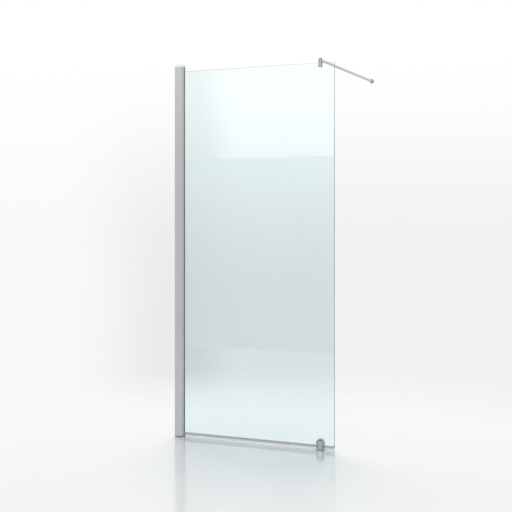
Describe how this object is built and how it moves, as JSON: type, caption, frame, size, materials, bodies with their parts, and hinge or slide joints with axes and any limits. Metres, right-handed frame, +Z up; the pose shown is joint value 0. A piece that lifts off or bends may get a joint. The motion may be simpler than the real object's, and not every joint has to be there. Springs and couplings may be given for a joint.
{
  "type": "shower screen",
  "caption": "Fixed walk-in shower screen: clear glass with a satin band, in a telescoping wall channel, on a domed foot, held by a clamp and a brace bar.",
  "frame": {"origin": "where the side wall, the middle plane of the glass and the floor meet", "axes": "+X along the glass, away from the side wall; +Y towards the wall that the brace bar meets; +Z up"},
  "size_m": [0.908, 0.912, 2.01],
  "materials": {
    "profile_aluminium": "polished anodised extrusion",
    "polished_chrome": "polished chrome",
    "stainless_steel": "machined stainless steel",
    "clear_glass": "clear toughened glass",
    "satin_glass": "satin print on glass",
    "grey_seal": "translucent grey seal",
    "dark_rubber": "dark soft gasket",
    "pale_plastic": "pale moulded plastic",
    "grey_plastic": "grey moulded plastic",
    "clear_liner": "clear soft liner"
  },
  "bodies": {
    "wall_fixing": {"wall_channel": "profile_aluminium", "channel_base_gasket": "dark_rubber", "profile_top_cap": "pale_plastic", "locking_screws": "stainless_steel", "locking_nut_plates": "stainless_steel", "locking_screw_caps": "grey_plastic"},
    "screen": {"glass_profile": "profile_aluminium", "gasket_front": "dark_rubber", "gasket_rear": "dark_rubber", "edge_setting_blocks": "grey_plastic", "pocket_bottom_block": "grey_plastic", "pocket_top_filler": "grey_plastic", "glass_panel": "clear_glass", "satin_band": "satin_glass", "bottom_seal_long": "grey_seal", "bottom_seal_short": "grey_seal", "foot_post": "polished_chrome", "foot_pad": "clear_liner", "foot_setting_block": "grey_plastic", "foot_liners": "clear_liner", "foot_set_screws": "stainless_steel", "clamp_body": "polished_chrome", "clamp_liner": "clear_liner", "clamp_set_screw": "stainless_steel"},
    "brace": {"brace_head": "polished_chrome", "head_pivot_screw": "stainless_steel", "brace_bar": "polished_chrome", "bar_set_screws": "stainless_steel", "wall_base": "polished_chrome"},
    "flange_cover": {"flange_cover": "polished_chrome"}
  },
  "joints": [
    {"name": "profile_adjust", "type": "slide", "parent": "wall_fixing", "child": "screen", "axis": [1, 0, 0], "range_m": [-0.006, 0.01]},
    {"name": "brace_swivel", "type": "hinge", "parent": "screen", "child": "brace", "pos_m": [0.832, 0, 1.9802], "axis": [0, 0, 1], "range_deg": [-45, 45]},
    {"name": "cover_slide", "type": "slide", "parent": "brace", "child": "flange_cover", "axis": [0, -1, 0], "range_m": [0, 0.86]}
  ]
}
